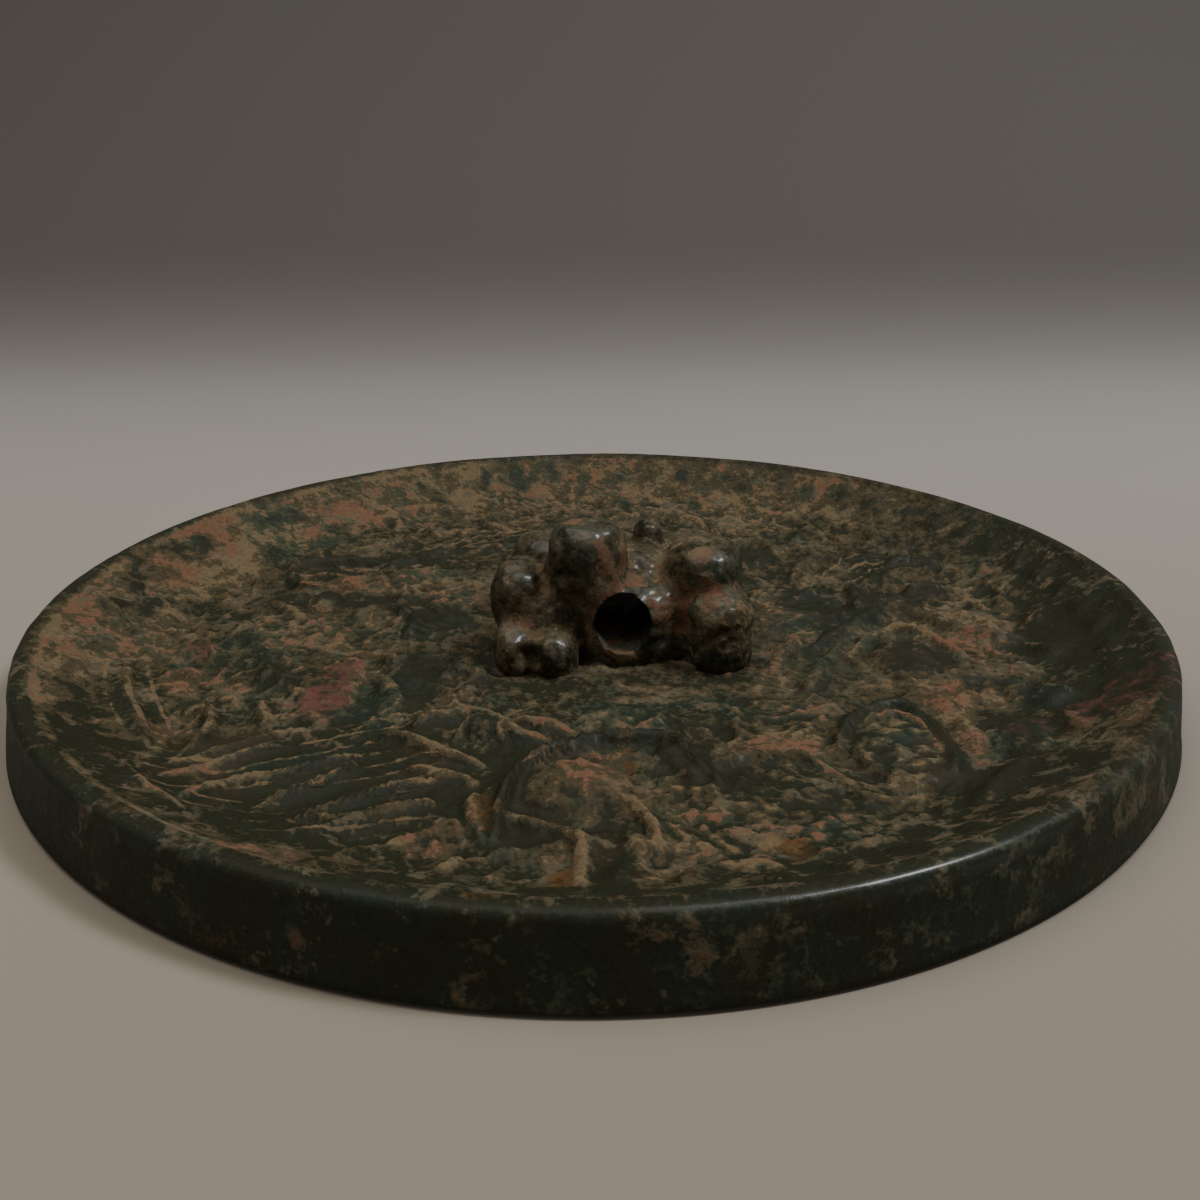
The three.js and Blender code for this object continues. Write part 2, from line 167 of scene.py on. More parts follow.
WAVE_ON_THE_RIGHT = [
    (0.046, 0.9, [(0.38, -0.17), (0.45, -0.09), (0.51, -0.035), (0.55, 0.01), (0.6, 0.03), (0.635, 0),
                  (0.665, -0.05), (0.705, -0.085), (0.795, -0.105)]),
    (0.028, 0.65, [(0.46, -0.16), (0.51, -0.11), (0.565, -0.065), (0.605, -0.07), (0.63, -0.125),
                   (0.665, -0.17)]),
    (0.03, 0.65, [(0.36, -0.305), (0.395, -0.22), (0.435, -0.18), (0.475, -0.225)]),
    (0.036, 0.5, [(0.6, -0.26), (0.66, -0.27), (0.725, -0.295)]),
    (0.03, 0.4, [(0.73, -0.11), (0.785, -0.135), (0.81, -0.215)]),
    (0.026, 0.5, [(0.34, -0.165), (0.37, -0.12), (0.37, -0.19)]),
    (0.03, 0.45, [(0.34, -0.04), (0.39, -0.01), (0.44, 0)]),
    (0.03, 0.4, [(0.68, -0.42), (0.72, -0.45), (0.72, -0.52)]),
]
BEAST_BEHIND_RIGHT = [
    (0.04, 0.75, [(0.535, 0.2), (0.53, 0.11), (0.525, 0.05)]),
    (0.042, 0.65, [(0.645, 0.295), (0.715, 0.315), (0.75, 0.285)]),
    (0.046, 0.75, [(0.645, 0.14), (0.685, 0.15), (0.715, 0.12)]),
    (0.042, 0.6, [(0.425, 0.215), (0.465, 0.31), (0.52, 0.36), (0.555, 0.31)]),
    (0.05, 0.7, [(0.26, 0.34), (0.3, 0.43), (0.38, 0.46), (0.42, 0.39)]),
    (0.05, 0.6, [(0.46, 0.46), (0.52, 0.56), (0.48, 0.66)]),
    (0.03, 0.45, [(0.76, 0.085), (0.8, 0.07), (0.82, 0.03)]),
    (0.03, 0.45, [(0.62, 0.42), (0.66, 0.47), (0.64, 0.54)]),
]
BODY_BEHIND_THE_KNOB = [
    (0.13, 0.6, [(-0.3, 0.41), (-0.12, 0.5), (0.08, 0.51), (0.25, 0.44)]),
    (0.05, 0.6, [(-0.2, 0.55), (-0.27, 0.63), (-0.2, 0.73)]),
    (0.045, 0.6, [(0, 0.6), (0.1, 0.67), (0.22, 0.67), (0.28, 0.58)]),
    (0.03, 0.5, [(-0.1, 0.62), (-0.06, 0.69), (-0.1, 0.75)]),
    (0.03, 0.5, [(-0.36, 0.5), (-0.4, 0.58), (-0.36, 0.66)]),
]
FIGURES = [
    HAUNCH_IN_FRONT, SCALED_BODY_IN_FRONT, CURLED_LOBE, HEAD_IN_FRONT_LEFT, LONG_FEATHERS,
    LOOPS_ON_THE_LEFT, BEAST_BEHIND_LEFT, WAVE_ON_THE_RIGHT, BEAST_BEHIND_RIGHT, BODY_BEHIND_THE_KNOB,
]

# Ridges whose crests carry pale earth, and ridges worn dark
PALE_CRESTS = LONG_FEATHERS[:4] + LONG_FEATHERS[6:] + [
    HAUNCH_IN_FRONT[1], HAUNCH_IN_FRONT[3], CURLED_LOBE[3], HEAD_IN_FRONT_LEFT[0], HEAD_IN_FRONT_LEFT[4],
    WAVE_ON_THE_RIGHT[1],
]
DARK_CRESTS = [
    HAUNCH_IN_FRONT[0], HAUNCH_IN_FRONT[4], CURLED_LOBE[0], WAVE_ON_THE_RIGHT[0], BEAST_BEHIND_LEFT[0],
    BEAST_BEHIND_LEFT[3], LOOPS_ON_THE_LEFT[2], LOOPS_ON_THE_LEFT[0], BEAST_BEHIND_RIGHT[1],
    BEAST_BEHIND_RIGHT[2],
]

# Oval mounds: middle, reach and rise
SWELLS = [
    ((-0.03, -0.61), (0.085, 0.065), 0.85),
    ((0.455, -0.515), (0.075, 0.105), 0.55),
    ((-0.18, -0.435), (0.026, 0.028), 0.95),
    ((-0.44, -0.295), (0.05, 0.135), 0.5),
    ((-0.545, 0.085), (0.036, 0.042), 0.85),
    ((0.55, -0.195), (0.065, 0.075), 0.6),
    ((0.635, -0.47), (0.05, 0.085), 0.5),
    ((0.735, -0.355), (0.035, 0.04), 0.5),
    ((0.74, -0.25), (0.026, 0.036), 0.55),
    ((0.35, 0.35), (0.06, 0.06), 0.6),
    ((-0.31, 0.075), (0.022, 0.035), 0.45),
    ((-0.71, -0.32), (0.04, 0.05), 0.35),
]

# Lines that have a row of small beads on their crest: points, spacing
BEADED = [
    ([(-0.09, -0.555), (-0.03, -0.515), (0.02, -0.5), (0.1, -0.5)], 0.017),
    ([(-0.46, -0.66), (-0.43, -0.625), (-0.395, -0.595), (-0.35, -0.54)], 0.02),
]

# Fields of fine parallel lines, as hair and feathers: the line that they follow, and how far they
# spread to each side of it
COMBED = [
    ([(-0.68, -0.61), (-0.53, -0.58), (-0.38, -0.52), (-0.22, -0.46)], 0.13),
    ([(-0.5, -0.72), (-0.36, -0.68), (-0.2, -0.63)], 0.06),
    ([(-0.68, 0.24), (-0.6, 0.3), (-0.48, 0.28), (-0.32, 0.38)], 0.07),
    ([(-0.82, -0.2), (-0.76, -0.34), (-0.68, -0.46)], 0.06),
    ([(-0.36, 0.45), (-0.12, 0.54), (0.1, 0.55), (0.3, 0.46)], 0.07),
    ([(0.5, 0.2), (0.6, 0.32), (0.74, 0.3)], 0.06),
]
COMB_SPACING = 0.034

# Ridges with one thin pale line along the crest, and how far from it the line may stray
LINED = [
    HAUNCH_IN_FRONT[0], HAUNCH_IN_FRONT[1], HAUNCH_IN_FRONT[3], CURLED_LOBE[2], CURLED_LOBE[3],
    HEAD_IN_FRONT_LEFT[0], HEAD_IN_FRONT_LEFT[1], HEAD_IN_FRONT_LEFT[3], HEAD_IN_FRONT_LEFT[4],
    LONG_FEATHERS[0], LONG_FEATHERS[1], LONG_FEATHERS[3], LONG_FEATHERS[6], WAVE_ON_THE_RIGHT[1],
    BEAST_BEHIND_LEFT[1], LOOPS_ON_THE_LEFT[1], LOOPS_ON_THE_LEFT[6], SCALED_BODY_IN_FRONT[2],
]
LINE_REACH = 0.014

# Fields of small scales: middle, reach
SCALED = [((0.24, -0.69), (0.2, 0.15)), ((0.45, -0.53), (0.07, 0.1)), ((-0.02, 0.49), (0.26, 0.06))]

# Smooth field round the front of the knob: middle, reach
CALM = ((0.09, -0.29), (0.26, 0.1))

# Field where the high places are pale and the hollows dark, the dark hollows being painted shade: middle,
# reach
PALE_HIGH = ((-0.42, -0.58), (0.36, 0.22))

# Patches of the patina, as middle and reach: salmon and other earth, blue-green and plain dark
# metal, red and rust. One dark patch, under the haunch's arch, is painted shadow
SALMON_PATCHES = [
    ((-0.7, -0.26), (0.04, 0.05)), ((0.59, -0.33), (0.05, 0.07)), ((0.67, -0.34), (0.04, 0.04)),
    ((0.68, -0.12), (0.07, 0.05)), ((-0.36, -0.85), (0.1, 0.05)), ((-0.21, -0.73), (0.05, 0.04)),
    ((-0.67, -0.42), (0.04, 0.05)), ((-0.57, -0.57), (0.05, 0.03)), ((0.5, -0.19), (0.03, 0.04)),
    ((0.55, -0.5), (0.04, 0.05)), ((0.27, -0.5), (0.08, 0.03)), ((-0.84, 0.38), (0.05, 0.07)),
    ((-0.88, 0.17), (0.05, 0.06)), ((-0.93, -0.08), (0.03, 0.06)), ((-0.6, 0.62), (0.08, 0.05)),
    ((0.78, -0.52), (0.09, 0.06)), ((-0.55, 0.2), (0.1, 0.06)), ((-0.03, -0.59), (0.07, 0.06)),
]
TEAL_PATCHES = [
    ((0.54, -0.12), (0.08, 0.07)), ((0.69, -0.36), (0.07, 0.05)), ((0.66, -0.5), (0.06, 0.06)),
    ((-0.34, -0.31), (0.06, 0.12)), ((-0.31, 0.26), (0.06, 0.05)), ((0.45, -0.53), (0.05, 0.08)),
    ((0.08, -0.38), (0.16, 0.05)), ((-0.75, 0.45), (0.1, 0.1)),
    ((0.42, -0.05), (0.06, 0.05)), ((-0.5, -0.52), (0.12, 0.06)),
]
EARTH_PATCHES = [
    ((0.56, -0.4), (0.05, 0.1)), ((-0.46, -0.76), (0.05, 0.04)),
    ((-0.23, -0.35), (0.03, 0.03)), ((-0.8, 0.3), (0.08, 0.1)),
    ((0.06, -0.65), (0.02, 0.05)), ((0.21, -0.53), (0.05, 0.03)), ((0.45, -0.46), (0.03, 0.04)),
    ((0.11, -0.31), (0.17, 0.04)), ((0.2, -0.72), (0.14, 0.12)), ((-0.32, -0.13), (0.05, 0.03)),
    ((-0.4, -0.23), (0.03, 0.12)),
]
DARK_PATCHES = [
    ((0.64, -0.46), (0.05, 0.08)), ((0.72, -0.37), (0.04, 0.05)), ((0.56, -0.18), (0.08, 0.09)),
    ((0.02, -0.79), (0.03, 0.12)), ((0.13, -0.53), (0.05, 0.06)), ((-0.18, -0.43), (0.03, 0.03)),
    # The patch at (-0.1, -0.51) is painted shadow under the crest of the haunch's arch
    ((0.49, -0.4), (0.02, 0.02)), ((-0.1, -0.51), (0.06, 0.03)), ((-0.12, -0.6), (0.02, 0.05)),
    ((-0.08, -0.72), (0.05, 0.03)), ((-0.53, -0.48), (0.08, 0.03)), ((-0.39, -0.55), (0.05, 0.02)),
    ((-0.32, -0.62), (0.11, 0.03)), ((-0.3, -0.27), (0.04, 0.1)), ((-0.49, 0.34), (0.2, 0.05)),
    ((0.47, 0.02), (0.08, 0.08)), ((0.54, -0.62), (0.06, 0.07)),
    ((0.86, -0.15), (0.1, 0.12)), ((0.53, -0.5), (0.02, 0.13)), ((0.84, -0.42), (0.12, 0.07)),
    ((0.42, 0.1), (0.05, 0.07)), ((0.6, 0.1), (0.1, 0.04)), ((-0.48, 0.1), (0.16, 0.035)),
    ((-0.3, 0), (0.06, 0.08)), ((0.36, 0.35), (0.05, 0.06)),
]
RED_PATCHES = [
    ((-0.44, -0.33), (0.05, 0.09)), ((-0.43, -0.25), (0.045, 0.08)),
]
RED_STREAK = [
    ((0.7, -0.48), (0.09, 0.05)), ((0.8, -0.45), (0.09, 0.06)), ((0.9, -0.41), (0.07, 0.06)),
    ((0.97, -0.35), (0.05, 0.05)), ((-0.71, -0.14), (0.03, 0.05)),
]
RUST_PATCHES = [
    ((-0.15, -0.67), (0.02, 0.07)), ((-0.04, -0.84), (0.02, 0.06)), ((0.05, -0.47), (0.03, 0.03)),
    ((0.05, -0.54), (0.015, 0.05)), ((-0.13, -0.97), (0.04, 0.02)), ((0.25, -0.79), (0.03, 0.05)),
]

# Rough brown place on the front of the knob, between the cord hole and the right haunch
BRIDGE = ((0.13, -0.15), (0.05, 0.08))

# Spots of earth left on the knob, and dimples in it: place in knob shares, size and depth in metres
KNOB_EARTH = [
    ((0.58, -0.62, 0.77), 0.0016), ((-0.38, -0.5, 1), 0.0016), ((-0.13, -0.77, 0.83), 0.0011),
    ((-0.13, -0.79, 0.73), 0.0011), ((0.01, -0.62, 0.8), 0.0012), ((0.02, -0.63, 0.7), 0.0013),
    ((0.1, -0.62, 0.6), 0.0013), ((-0.23, -0.86, 0.4), 0.0013), ((0.3, -0.6, 0.74), 0.0012),
]
DIMPLES = [((-0.66, -0.8, 0.42), 0.0024, 0.0005), ((-0.68, -1.02, 0.16), 0.0017, 0.0006)]

# Earth on each place where nothing adds to it or takes from it, from 0 to 1, and how much the
# patches, crests, teeth and blotches change it
DISH_EARTH = 0.33
KNOB_SKIN_EARTH = 0.4
RIM_EARTH = 0.12
WALL_EARTH = 0.08
GROOVE_EARTH = 0.26
PATCH_EARTH = 0.19
DARK_PATCH = 0.38
CREST_CHANGE = 0.34
TOOTH_DARK = 0.36
BLOTCH_DARK = 0.26

# Pale band round the mouth of the cord hole: how far from the hole's middle it ends and is full
MOUTH_BAND = (0.0042, 0.0032)

# Colours of the patina: dark metal, thin film over it, earth, red stain and rust
OLIVE_BLACK = (0.022, 0.024, 0.008, 1)
GREEN_BLACK = (0.019, 0.03, 0.015, 1)
BROWN_BLACK = (0.038, 0.029, 0.011, 1)
BROWN_FILM = (0.088, 0.067, 0.031, 1)
GREEN_FILM = (0.056, 0.066, 0.034, 1)
PALE_FILM = (0.125, 0.107, 0.064, 1)
SAND = (0.205, 0.15, 0.08, 1)
SALMON = (0.22, 0.118, 0.067, 1)
GREY_GREEN = (0.13, 0.128, 0.075, 1)
DEEP_RED = (0.14, 0.048, 0.034, 1)
PALE_RED = (0.2, 0.088, 0.06, 1)
RUST = (0.15, 0.058, 0.01, 1)

# Colours of the sweep, with painted light and shade in them: floor at the left and at the right in front
# (the right darker, as painted shade), floor behind (lighter, as painted light), and backdrop (darker, as
# painted shade)
FLOOR_LEFT = (0.37, 0.325, 0.255, 1)
FLOOR_RIGHT_PAINTED_SHADE = (0.335, 0.293, 0.23, 1)
FLOOR_BEHIND_PAINTED_LIGHT = (0.48, 0.458, 0.438, 1)
BACKDROP_PAINTED_SHADE = (0.104, 0.094, 0.085, 1)

# Lumps of the knob: middle, reach and squareness, in knob shares across, deep and high. The last
# two, which fill the recess and the saddle, are not in the solid
LUMPS = [
    ((0.04, -0.08, 0.21), (0.68, 0.82, 0.39), 0.6),
    ((-0.27, -0.5, 0.56), (0.32, 0.34, 0.44), 0.55),
    ((-0.77, -0.46, 0.41), (0.24, 0.33, 0.29), 0.8),
    ((-0.82, -0.8, 0.12), (0.16, 0.25, 0.21), 0.8),
    ((-0.52, -0.86, 0.1), (0.2, 0.2, 0.2), 0.8),
    ((0.72, -0.67, 0.21), (0.28, 0.35, 0.33), 0.65),
    ((0.63, -0.38, 0.57), (0.32, 0.38, 0.25), 0.75),
    ((0.24, 0.25, 0.64), (0.13, 0.19, 0.17), 0.8),
    ((-0.55, 0.4, 0.27), (0.38, 0.46, 0.39), 0.7),
    ((0.6, 0.4, 0.25), (0.36, 0.46, 0.37), 0.7),
    ((-0.45, 0.84, 0.1), (0.22, 0.16, 0.2), 0.8),
    ((0.5, 0.84, 0.1), (0.22, 0.16, 0.2), 0.8),
    ((-0.62, -0.62, 0.3), (0.24, 0.26, 0.22), 0.8),
    ((0.13, -0.2, 0.5), (0.3, 0.34, 0.21), 0.8),
]


def smoothstep(start, end, value):
    part = np.clip((value - start) / (end - start), 0, 1)
    return part * part * (3 - 2 * part)


def smooth_line(points, per_span=8):
    """Many points along the smooth curve through a few."""
    knots = np.array([points[0]] + list(points) + [points[-1]], float)
    line = []
    for span in range(1, len(knots) - 2):
        before, start, end, after = knots[span - 1:span + 3]
        for step in range(per_span):
            t = step / per_span
            line.append(0.5 * (2 * start + (end - before) * t
                               + (2 * before - 5 * start + 4 * end - after) * t * t
                               + (3 * start - before - 3 * end + after) * t ** 3))
    line.append(knots[-1])
    return np.array(line)


def line_distance(u, v, line):
    """For each place: how far it is from the line, and the run along the line, from its start."""
    nearest = np.full(u.shape, np.inf)
    along = np.zeros(u.shape)
    run = 0.0
    for start, end in zip(line[:-1], line[1:]):
        step = end - start
        length = max(math.hypot(*step), 1e-9)
        part = np.clip(((u - start[0]) * step[0] + (v - start[1]) * step[1]) / length ** 2, 0, 1)
        distance = np.hypot(u - start[0] - part * step[0], v - start[1] - part * step[1])
        closer = distance < nearest
        nearest = np.where(closer, distance, nearest)
        along = np.where(closer, run + part * length, along)
        run += length
    return nearest, along, run


def near_line(u, v, line, width):
    low_u, low_v = line.min(0) - width
    high_u, high_v = line.max(0) + width
    return (u > low_u) & (u < high_u) & (v > low_v) & (v < high_v)


def raise_to(height, near, form, soft=0.3):
    """The higher of what is there and a form, with the crease between them softened."""
    there = height[near]
    ease = np.minimum(soft, np.maximum(form, 1e-6))
    lean = np.clip(0.5 + 0.5 * (form - there) / ease, 0, 1)
    height[near] = there * (1 - lean) + form * lean + ease * lean * (1 - lean) * 0.5


def add_ridge(height, u, v, width, rise, along):
    line = smooth_line(along)
    near = near_line(u, v, line, width * 1.5)
    distance, run, length = line_distance(u[near], v[near], line)
    part = run / length
    taper = 0.35 + 0.65 * np.minimum(1, np.sqrt(4 * np.minimum(part, 1 - part)))
    across = distance / (width / 2 * taper)
    crest = np.clip(1 - across ** 2, 0, 1) ** 1.1
    foot = 0.55 * np.clip(1 - across / 2.8, 0, 1) ** 1.4
    uneven = 0.95 + 0.08 * np.sin(run * 55 + 900 * width)
    raise_to(height, near, rise * taper * uneven * np.maximum(crest, foot))


def add_beads(height, u, v, along, spacing):
    line = smooth_line(along)
    near = near_line(u, v, line, spacing)
    distance, run, length = line_distance(u[near], v[near], line)
    bump = np.clip(np.cos(run / spacing * 2 * math.pi), 0, 1)
    height[near] += 0.14 * (bump * smoothstep(spacing * 0.6, spacing * 0.2, distance))


def comb_fields(u, v):
    """Where the fine lines run, from 0 to 1, and each place's distance from their guide in spacings."""
    strength = np.zeros(len(u))
    steps = np.zeros(len(u))
    for along, reach in COMBED + [(ridge[2], LINE_REACH) for ridge in LINED]:
        line = smooth_line(along)
        near = near_line(u, v, line, reach)
        distance, run, length = line_distance(u[near], v[near], line)
        ends = smoothstep(0, min(0.06, length / 3), np.minimum(run, length - run))
        field = smoothstep(reach, reach * 0.6, distance) * ends
        steps[near] = np.where(field > strength[near], distance / COMB_SPACING, steps[near])
        strength[near] = np.maximum(strength[near], field)
    return strength, steps


def add_swell(height, u, v, at, reach, rise):
    out = ((u - at[0]) / reach[0]) ** 2 + ((v - at[1]) / reach[1]) ** 2
    near = out < 1
    raise_to(height, near, rise * (1 - out[near]) ** 0.4)


def oval(u, v, at, reach):
    """1 in the middle of an oval, falling to 0 a little outside it."""
    out = np.hypot((u - at[0]) / reach[0], (v - at[1]) / reach[1])
    return smoothstep(1.35, 0.45, out)


def ovals(u, v, patches):
    inside = np.zeros(len(u))
    for at, reach in patches:
        inside = np.maximum(inside, oval(u, v, at, reach))
    return inside


def crests(u, v, ridges):
    """1 on the crests of some ridges, 0 at their feet."""
    on_crest = np.zeros(len(u))
    for width, rise, along in ridges:
        line = smooth_line(along)
        near = near_line(u, v, line, width)
        distance = line_distance(u[near], v[near], line)[0]
        on_crest[near] = np.maximum(on_crest[near], smoothstep(width * 0.42, width * 0.1, distance))
    return on_crest


def fractal(points, scale, octaves, seed):
    shift = Vector((seed * 17.3, seed * 5.1, seed * 9.7))
    return np.array([noise.fractal(Vector(point) * scale + shift, 1.0, 2.0, octaves) for point in points])


def creased(points, scale, octaves, seed):
    """Winding crests: the zero lines of a noise whose places were first swirled about."""
    swirl = np.stack([fractal(points, scale * 0.5, 2, seed + 20),
                      fractal(points, scale * 0.5, 2, seed + 30), np.zeros(len(points))], 1)
    values = fractal(points + swirl * (0.9 / scale), scale, octaves, seed)
    return np.clip(1 - np.abs(values) * 3.2, 0, 1)


def scale_bumps(points, size, seed):
    """Small round scales packed side by side."""
    shift = Vector((seed * 3.1, seed * 7.7, 0))
    bumps = []
    for point in points:
        distances = noise.voronoi(Vector(point) / size + shift)[0]
        bumps.append(min(distances[1] - distances[0], 0.6) / 0.6)
    return np.array(bumps)


def scales(u, v):
    """The fields of small round scales, 1 on their middles and 0 between them."""
    scaled = ovals(u, v, SCALED)
    near = scaled > 0
    places = np.stack([u[near], v[near], np.zeros(near.sum())], 1)
    scaled[near] *= scale_bumps(places, SCALE_SIZE, 1)
    return scaled


def dish_height(radius):
    climb = np.clip((radius - FLOOR_RADIUS) / SLOPE_WIDTH, 0, 1)
    eased = 0.7 * climb + 0.3 * climb ** 2
    return PLATE + (RIM_HEIGHT - LIP_STEP - PLATE) * eased


def tooth_shape(radius, angle):
    """Raised triangles round the slope, each with its point towards the lip."""
    tip = SLOPE_TOP_RADIUS - TOOTH_GAP
    up_tooth = (tip - radius) / TOOTH_LENGTH
    turn = (angle - FIRST_TOOTH) / (2 * math.pi) * TOOTH_COUNT
    off_middle = np.abs((turn + 0.5) % 1 - 0.5) * 2
    inside = np.minimum(up_tooth * 0.9 - off_middle, (1 - up_tooth) * 2)
    return smoothstep(0, 0.3, inside) * (up_tooth > 0)


def relief_height(x, y):
    """Height over the bare dish, in metres, of everything raised on it."""
    radius = np.hypot(x, y) / LIP_RADIUS
    u, v = x / LIP_RADIUS, y / LIP_RADIUS
    places = np.stack([u, v, np.zeros(len(u))], 1)
    height = np.zeros(len(u))
    for at, reach, rise in SWELLS:
        add_swell(height, u, v, at, reach, rise)
    for figure in FIGURES:
        for width, rise, along in figure:
            add_ridge(height, u, v, width, rise, along)
    for along, spacing in BEADED:
        add_beads(height, u, v, along, spacing)
    comb, steps = comb_fields(u, v)
    height = height + 0.06 * comb * (0.5 + 0.5 * np.cos(steps * 2 * math.pi)) ** 2
    field = smoothstep(0.9, 0.8, radius) * (1 - 0.85 * oval(u, v, *CALM))
    field = field * (1 - 0.65 * oval(u, v, *PALE_HIGH))
    between = field * (0.35 + 0.65 * np.clip(1 - height, 0, 1))
    height = height + between * (0.22 * creased(places, 8, 3, 1) + 0.2 * creased(places, 17, 2, 2))
    height = height + field * 0.12 * fractal(places, 7, 2, 6)
    height += 0.13 * scales(u, v)
    height = height + 0.09 * field * creased(places, 34, 2, 9) + 0.05 * fractal(places, 45, 3, 3)
    worn = np.clip(0.75 + 0.6 * fractal(places, 5, 2, 8), 0.15, 1)
    teeth = tooth_shape(radius * LIP_RADIUS, np.arctan2(y, x)) * TOOTH_HEIGHT * worn
    return height * RELIEF_HEIGHT + teeth


def disc_profile():
    """The disc's section from the middle of its floor, over the lip, to the middle of its underside."""
    fine = np.arange(KNOB_HIDES_RADIUS, SLOPE_TOP_RADIUS, RING_GAP)
    radii = [0, 0.0035, 0.007] + list(fine) + [SLOPE_TOP_RADIUS]
    points = [(radius, float(dish_height(radius))) for radius in radii]
    points.append((SLOPE_TOP_RADIUS + LIP_STEP, RIM_HEIGHT))
    centre = LIP_RADIUS - LIP_ROUNDING
    for step in range(7):
        angle = math.pi / 2 * (1 - step / 6)
        points.append((centre + LIP_ROUNDING * math.cos(angle),
                       RIM_HEIGHT - LIP_ROUNDING + LIP_ROUNDING * math.sin(angle)))
    wall_top = Vector((LIP_RADIUS, RIM_HEIGHT - LIP_ROUNDING))
    wall_foot = Vector((FOOT_RADIUS, FOOT_BEVEL))
    for step in range(1, 10):
        points.append(tuple(wall_top.lerp(wall_foot, step / 10)))
    points.append(tuple(wall_foot))
    points.append((FOOT_RADIUS - FOOT_BEVEL, 0))
    points += [(FOOT_RADIUS * share, 0) for share in (0.9, 0.6, 0.3)]
    points.append((0, 0))
    return points


def turned_disc():
    bm = bmesh.new()
    corners = [bm.verts.new((radius, 0, height)) for radius, height in disc_profile()]
    edges = [bm.edges.new(pair) for pair in zip(corners[:-1], corners[1:])]
    bmesh.ops.spin(bm, geom=corners + edges, cent=(0, 0, 0), axis=(0, 0, 1), angle=2 * math.pi,
                   steps=TURN_STEPS, use_merge=True, use_duplicate=False)
    bmesh.ops.remove_doubles(bm, verts=bm.verts, dist=1e-7)
    bmesh.ops.recalc_face_normals(bm, faces=bm.faces)
    return mesh_object(bm, "mirror_casting")


def mesh_object(bm, name):
    mesh = bpy.data.meshes.new(name)
    bm.to_mesh(mesh)
    bm.free()
    piece = bpy.data.objects.new(name, mesh)
    bpy.context.scene.collection.objects.link(piece)
    return piece


def corners_of(mesh):
    flat = np.empty(len(mesh.vertices) * 3)
    mesh.vertices.foreach_get("co", flat)
    return flat.reshape(-1, 3)


def normals_of(mesh):
    flat = np.empty(len(mesh.vertices) * 3)
    mesh.vertex_normals.foreach_get("vector", flat)
    return flat.reshape(-1, 3)


def set_corners(mesh, places):
    mesh.vertices.foreach_set("co", places.ravel())
    mesh.update()


def applied(piece):
    """Leaves the piece with its modifiers worked into its mesh."""
    shape = bpy.data.meshes.new_from_object(piece.evaluated_get(bpy.context.evaluated_depsgraph_get()))
    piece.modifiers.clear()
    old = piece.data
    piece.data = shape
    bpy.data.meshes.remove(old)
    return piece


def carve_disc(disc):
    """Raises the relief on the dish and wears the wall, without passing the solid's outline."""
    places = corners_of(disc.data)
    radius = np.hypot(places[:, 0], places[:, 1])
    dish = (places[:, 2] > PLATE * 0.9) & (radius < SLOPE_TOP_RADIUS + 1e-6)
    places[dish, 2] += relief_height(places[dish, 0], places[dish, 1])
    rim = (radius > SLOPE_TOP_RADIUS) & (places[:, 2] > FOOT_BEVEL * 1.1)
    dents = np.clip(fractal(places[rim] / LIP_RADIUS, 6, 4, 4) + 0.3, 0, 1)
    wear = 0.00016 * dents
    inwards = 1 - wear / radius[rim]
    places[rim] *= np.stack([inwards, inwards, 1 - 0.4 * wear / RIM_HEIGHT], 1)
    set_corners(disc.data, places)


def add_lump(bm, at, reach, square):
    ball = bmesh.ops.create_uvsphere(bm, u_segments=40, v_segments=24, radius=1)
    middle = Vector((KNOB_X + at[0] * KNOB_WIDTH / 2, KNOB_Y + at[1] * KNOB_DEPTH / 2, at[2] * KNOB_HEIGHT))
    for corner in ball["verts"]:
        out = math.hypot(corner.co.x, corner.co.y)
        up = corner.co.z
        wider = out ** square / out if out > 1e-6 else 0
        corner.co.x *= wider * reach[0] * KNOB_WIDTH / 2
        corner.co.y *= wider * reach[1] * KNOB_DEPTH / 2
        corner.co.z = math.copysign(abs(up) ** square, up) * reach[2] * KNOB_HEIGHT
        corner.co += middle
        corner.co.z = max(corner.co.z, -0.4 * PLATE) + PLATE


def worn_knob():
    """The knob's lumps melted into one skin, pitted and worn."""
    bm = bmesh.new()
    for at, reach, square in LUMPS:
        add_lump(bm, at, reach, square)
    knob = mesh_object(bm, "knob")
    remesh = knob.modifiers.new("skin", "REMESH")
    remesh.mode = "VOXEL"
    remesh.voxel_size = KNOB_VOXEL
    applied(knob)
    bm = bmesh.new()
    bm.from_mesh(knob.data)
    for _ in range(4):
        bmesh.ops.smooth_vert(bm, verts=bm.verts, factor=0.5,
                              use_axis_x=True, use_axis_y=True, use_axis_z=True)
    bm.to_mesh(knob.data)
    bm.free()
    places = corners_of(knob.data)
    normals = normals_of(knob.data)
    dents = np.clip(fractal(places / LIP_RADIUS, 14, 4, 6) + 0.3, 0, 1)
    pits = np.clip(fractal(places / LIP_RADIUS, 50, 4, 7) - 0.05, 0, 1)
    inwards = 0.0004 * dents + 0.0003 * pits
    for at, size, depth in DIMPLES:
        inwards += depth * knob_spots(places, [(at, size)])
    set_corners(knob.data, places - normals * inwards[:, None])
    return knob


def cord_bore():
    bm = bmesh.new()
    bmesh.ops.create_cone(bm, cap_ends=True, segments=64, radius1=HOLE_RADIUS, radius2=HOLE_RADIUS,
                          depth=KNOB_DEPTH * 1.3, matrix=Matrix.Translation((KNOB_X, KNOB_Y, HOLE_HEIGHT))
                          @ Matrix.Rotation(math.pi / 2, 4, "X"))
    return mesh_object(bm, "bore")


def join_and_bore(disc, knob, bore):
    """One casting: the knob joined to the disc, with the cord hole cut through."""
    for name, tool, operation in (("join", knob, "UNION"), ("cut", bore, "DIFFERENCE")):
        change = disc.modifiers.new(name, "BOOLEAN")
        change.object = tool
        change.operation = operation
        change.solver = "MANIFOLD"
    applied(disc)
    for tool in (knob, bore):
        bpy.data.objects.remove(tool)


